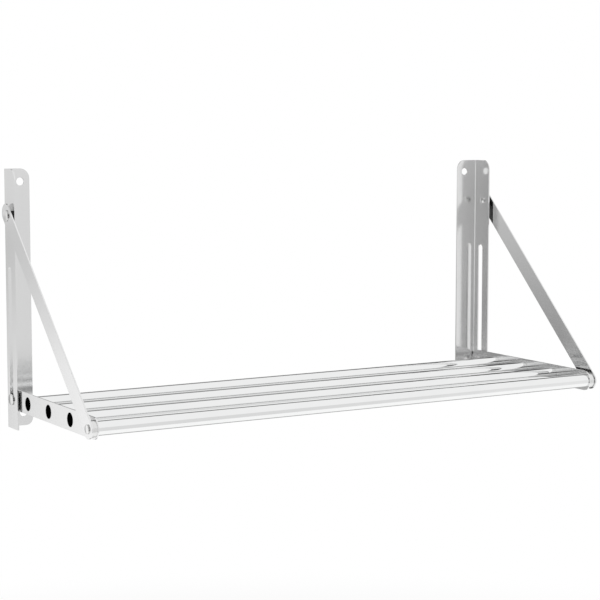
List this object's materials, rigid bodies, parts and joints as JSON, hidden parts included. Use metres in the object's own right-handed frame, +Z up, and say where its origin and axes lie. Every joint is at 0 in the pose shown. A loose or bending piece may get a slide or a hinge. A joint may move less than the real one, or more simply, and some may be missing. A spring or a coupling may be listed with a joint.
{
  "type": "wall mounted fold down drying rack",
  "caption": "Wall mounted drying rack: a frame of tubes hangs on struts and folds down flat against slotted wall brackets.",
  "frame": {"origin": "centre of the rectangle of wall holes, in the plane of the wall", "axes": "+X to the right along the tubes, +Y into the wall, +Z up"},
  "size_m": [0.8154, 0.2982, 0.3588],
  "materials": {
    "polished_sheet": "bright polished stainless steel sheet",
    "polished_tube": "mirror polished stainless steel tube",
    "steel_hardware": "bright turned stainless steel",
    "black_plug": "matt black",
    "black_acetal": "black acetal"
  },
  "bodies": {
    "wall_brackets": {"left_bracket": "polished_sheet", "right_bracket": "polished_sheet", "left_top_screw": "steel_hardware", "right_top_screw": "steel_hardware", "left_top_spacer": "black_acetal", "right_top_spacer": "black_acetal", "left_top_nut": "steel_hardware", "right_top_nut": "steel_hardware"},
    "slide_bushes": {"left_slide_bush": "black_acetal", "right_slide_bush": "black_acetal"},
    "shelf_frame": {"left_end_plate": "polished_sheet", "right_end_plate": "polished_sheet", "rear_tube": "polished_tube", "middle_tube": "polished_tube", "inner_front_tube": "polished_tube", "front_tube": "polished_tube", "left_rear_tube_plug": "black_plug", "left_middle_tube_plug": "black_plug", "left_inner_front_tube_plug": "black_plug", "right_rear_tube_plug": "black_plug", "right_middle_tube_plug": "black_plug", "right_inner_front_tube_plug": "black_plug", "left_rear_pin": "steel_hardware", "right_rear_pin": "steel_hardware", "left_rear_nut": "steel_hardware", "right_rear_nut": "steel_hardware", "left_front_spacer": "steel_hardware", "right_front_spacer": "steel_hardware", "left_front_stud": "steel_hardware", "right_front_stud": "steel_hardware", "left_front_insert": "steel_hardware", "right_front_insert": "steel_hardware"},
    "left_strut_arm": {"left_strut": "polished_sheet", "left_front_screw": "steel_hardware"},
    "right_strut_arm": {"right_strut": "polished_sheet", "right_front_screw": "steel_hardware"}
  },
  "joints": [
    {"name": "rear_slide", "type": "slide", "parent": "wall_brackets", "child": "slide_bushes", "axis": [0, 0, 1], "range_m": [0, 0.15707]},
    {"name": "fold", "type": "hinge", "parent": "slide_bushes", "child": "shelf_frame", "pos_m": [0, -0.017, -0.1389], "axis": [1, 0, 0], "range_deg": [0, 90]},
    {"name": "left_strut_swing", "type": "hinge", "parent": "wall_brackets", "child": "left_strut_arm", "pos_m": [-0.4046, -0.0225, 0.1156], "axis": [1, 0, 0], "range_deg": [0, 46.8]},
    {"name": "right_strut_swing", "type": "hinge", "parent": "wall_brackets", "child": "right_strut_arm", "pos_m": [0.4046, -0.0225, 0.1156], "axis": [1, 0, 0], "range_deg": [0, 46.8]}
  ],
  "couplings": [
    {"joint": "rear_slide", "follows": "fold", "m_per_rad": 0.09999},
    {"joint": "left_strut_swing", "follows": "fold", "ratio": 0.52002},
    {"joint": "right_strut_swing", "follows": "fold", "ratio": 0.52002}
  ]
}
